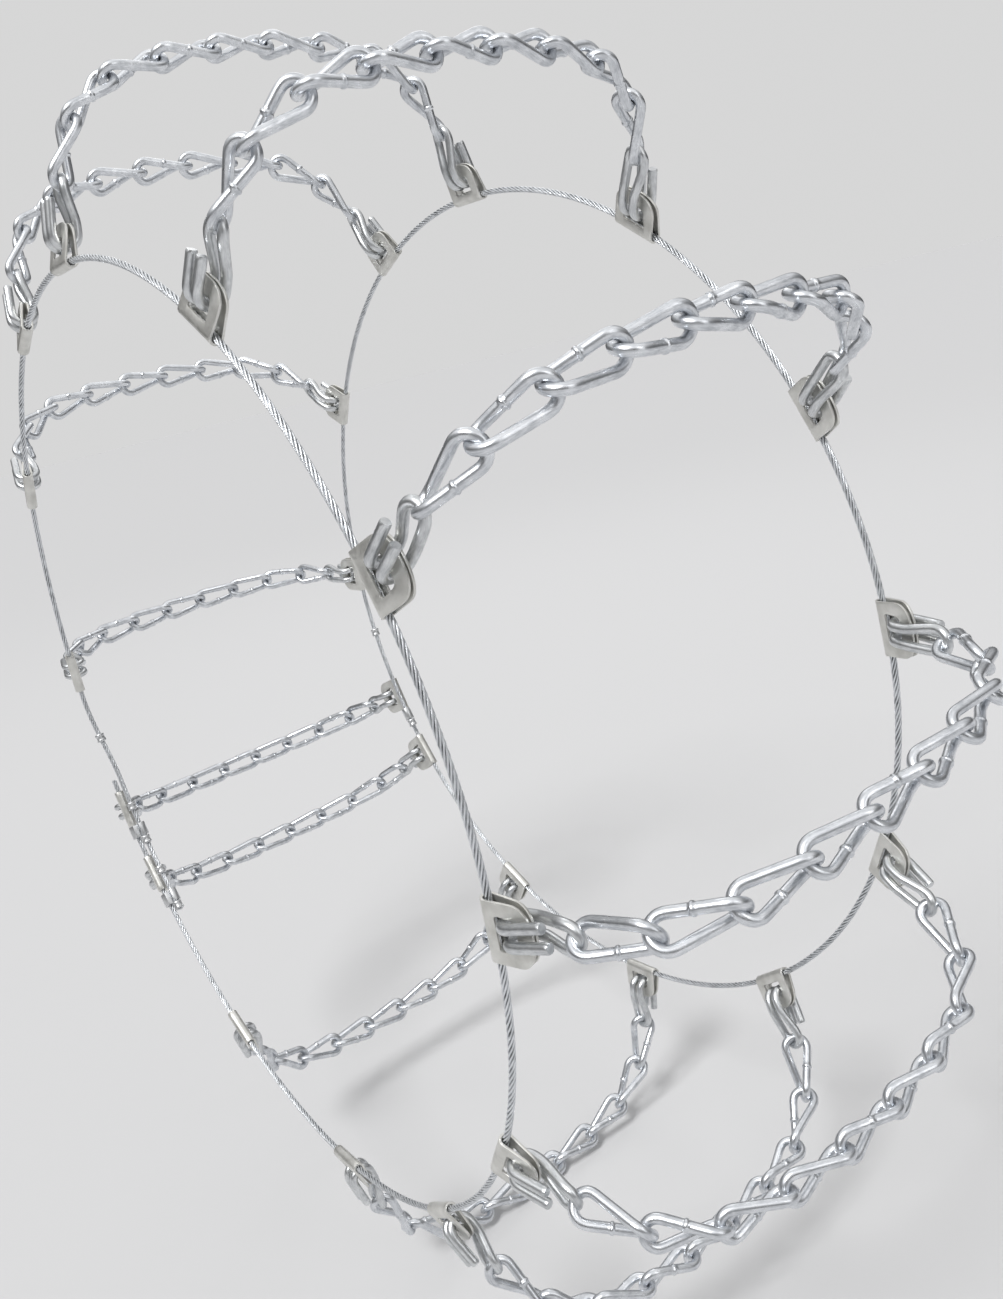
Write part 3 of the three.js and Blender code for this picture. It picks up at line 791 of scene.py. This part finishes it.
def catch_piece(node, side):
    """A block crimped on one cable, with an open notch beside it for the ferruled one."""
    hole = CABLE_R + CATCH_PLAY
    inset = TAIL_INSET

    def arc(centre, radius, first, last, steps):
        turns = [math.radians(first + (last - first) * i / steps) for i in range(steps + 1)]
        return [(centre + radius * math.cos(a), radius * math.sin(a)) for a in turns]

    draft = math.tan(math.radians(CATCH_DRAFT))
    outline = arc(0, CATCH_R, 90, 255, steps=12)
    outline += [(inset / 2, -CATCH_R * CATCH_WAIST)]
    outline += arc(inset, CATCH_R, -75, 32, steps=9)
    outline += [(inset + hole + CATCH_PLAY, CATCH_R * CATCH_LIP)]
    outline += arc(inset, hole, 0, -180, steps=14)
    for back, rise in ((CATCH_LIP, CATCH_LIP), CATCH_SHOULDER):
        outline += [(inset - hole - CATCH_R * back * draft, CATCH_R * rise)]
    bore = arc(0, hole, 0, 345, steps=23)
    shape = flat_sheet([outline, bore], CATCH_LENGTH, CATCH_BEVEL)
    degrees = node_angle(node)
    place = wheel_point(RING_R + CABLE_SHIFT, side * RING_Y, degrees)
    turn = Matrix.Rotation(-math.radians(degrees), 3, "Y")
    turn = turn @ Matrix.Rotation(side * math.radians(TAIL_TILT), 3, "Z")
    inwards = turn @ Vector((-1, 0, 0))
    off = turn @ Vector((0, side, 0))
    axes = Matrix((inwards, off, inwards.cross(off))).transposed().to_4x4()
    axes.translation = place
    piece = mesh_piece(f"{node}_block", *finished(shape), None, axes, [sleeve])
    belongs(piece, "side_cables", "sleeve_metal", node)


# The object

swings = [joint for joint in frame["joints"] if joint["name"].endswith("_swing")]
for number, joint in enumerate(swings, 1):
    angle, skew = station_angles(joint)
    cross_chain(number, angle, skew)
    clip_piece(f"near_clip_{number:02d}", -1, angle, CLIP_SLIDE.get(number, 0))
    clip_piece(f"far_clip_{number:02d}", 1, angle + skew)

for name, side in (("near", -1), ("far", 1)):
    side_cable(name, side)
for node in sorted(frame["nodes"]):
    side = -1 if node.startswith("near") else 1
    if "_ferrule_" in node:
        ferrule_piece(node, side)
    if "_catch_" in node:
        catch_piece(node, side)


# Floor, light and camera, in metres

FLOOR_R = 30
FLOOR_SIDES = 96
FLOOR_GAP = 0.0005
BACKDROP = 0.677  # as bright as the floor far away
BOUNCE = 0.6  # how bright the room is for the light that it gives
REFLECTED = 0.95  # and for what the metal reflects of it


def floor():
    mesh = bpy.data.meshes.new("floor")
    shape = bmesh.new()
    bmesh.ops.create_circle(shape, cap_ends=True, segments=FLOOR_SIDES, radius=FLOOR_R)
    shape.to_mesh(mesh)
    shape.free()
    material, nodes, _ = new_material("pale_floor")
    shader = nodes["Principled BSDF"]
    shader.inputs["Base Color"].default_value = (0.56, 0.56, 0.565, 1)
    shader.inputs["Roughness"].default_value = 0.95
    mesh.materials.append(material)
    plane = bpy.data.objects.new("floor", mesh)
    plane.location.z = cad_box[0][2] - FLOOR_GAP
    bpy.context.scene.collection.objects.link(plane)


def area_light(name, place, size, watts):
    """A rectangular lamp that faces the origin."""
    lamp = bpy.data.lights.new(name, "AREA")
    lamp.shape = "RECTANGLE"
    lamp.size, lamp.size_y = size
    lamp.energy = watts
    holder = bpy.data.objects.new(name, lamp)
    holder.location = place
    holder.rotation_euler = (-Vector(place)).to_track_quat("-Z", "Y").to_euler()
    bpy.context.scene.collection.objects.link(holder)


def sky():
    """An even, pale room, in which the metal reflects a ceiling above darker walls."""
    world = bpy.data.worlds.new("studio")
    world.use_nodes = True
    nodes, links = world.node_tree.nodes, world.node_tree.links
    place = nodes.new("ShaderNodeTexCoord")
    split = nodes.new("ShaderNodeSeparateXYZ")
    links.new(place.outputs["Generated"], split.inputs["Vector"])
    room = ramp(nodes, [(0.0, 0.03), (0.15, 0.06), (0.45, 0.35), (0.8, 1.0)])
    links.new(split.outputs["Z"], room.inputs["Fac"])
    nodes["Background"].inputs["Strength"].default_value = REFLECTED
    links.new(room.outputs["Color"], nodes["Background"].inputs["Color"])
    path = nodes.new("ShaderNodeLightPath")
    surface = nodes["Background"].outputs["Background"]
    for rays, brightness in (("Is Diffuse Ray", BOUNCE), ("Is Camera Ray", BACKDROP)):
        even = nodes.new("ShaderNodeBackground")
        even.inputs["Color"].default_value = (brightness, brightness, brightness, 1)
        mixed = nodes.new("ShaderNodeMixShader")
        links.new(path.outputs[rays], mixed.inputs["Fac"])
        links.new(surface, mixed.inputs[1])
        links.new(even.outputs["Background"], mixed.inputs[2])
        surface = mixed.outputs["Shader"]
    links.new(surface, nodes["World Output"].inputs["Surface"])
    bpy.context.scene.world = world


def sun(name, place, strength, spread):
    """Sunlight from the direction of place, softened over spread degrees."""
    lamp = bpy.data.lights.new(name, "SUN")
    lamp.energy = strength
    lamp.angle = math.radians(spread)
    holder = bpy.data.objects.new(name, lamp)
    holder.rotation_euler = Vector(place).to_track_quat("Z", "Y").to_euler()
    bpy.context.scene.collection.objects.link(holder)


floor()
sky()
sun("key", (0.6, -1.5, 2.1), strength=2.4, spread=20)
area_light("fill", (2.0, 0.3, 0.9), size=(0.9, 1.4), watts=5)
area_light("back", (-1.6, 1.2, 1.7), size=(1.2, 1.0), watts=5)

camera_data = bpy.data.cameras.new("camera")
camera_data.lens = CAMERA_LENS
camera_data.clip_start = 0.01
camera = bpy.data.objects.new("camera", camera_data)
camera.location = CAMERA_PLACE
camera.rotation_euler = [math.radians(turn) for turn in CAMERA_TURN]
bpy.context.scene.collection.objects.link(camera)
bpy.context.scene.camera = camera
bpy.context.scene.view_settings.view_transform = "Standard"
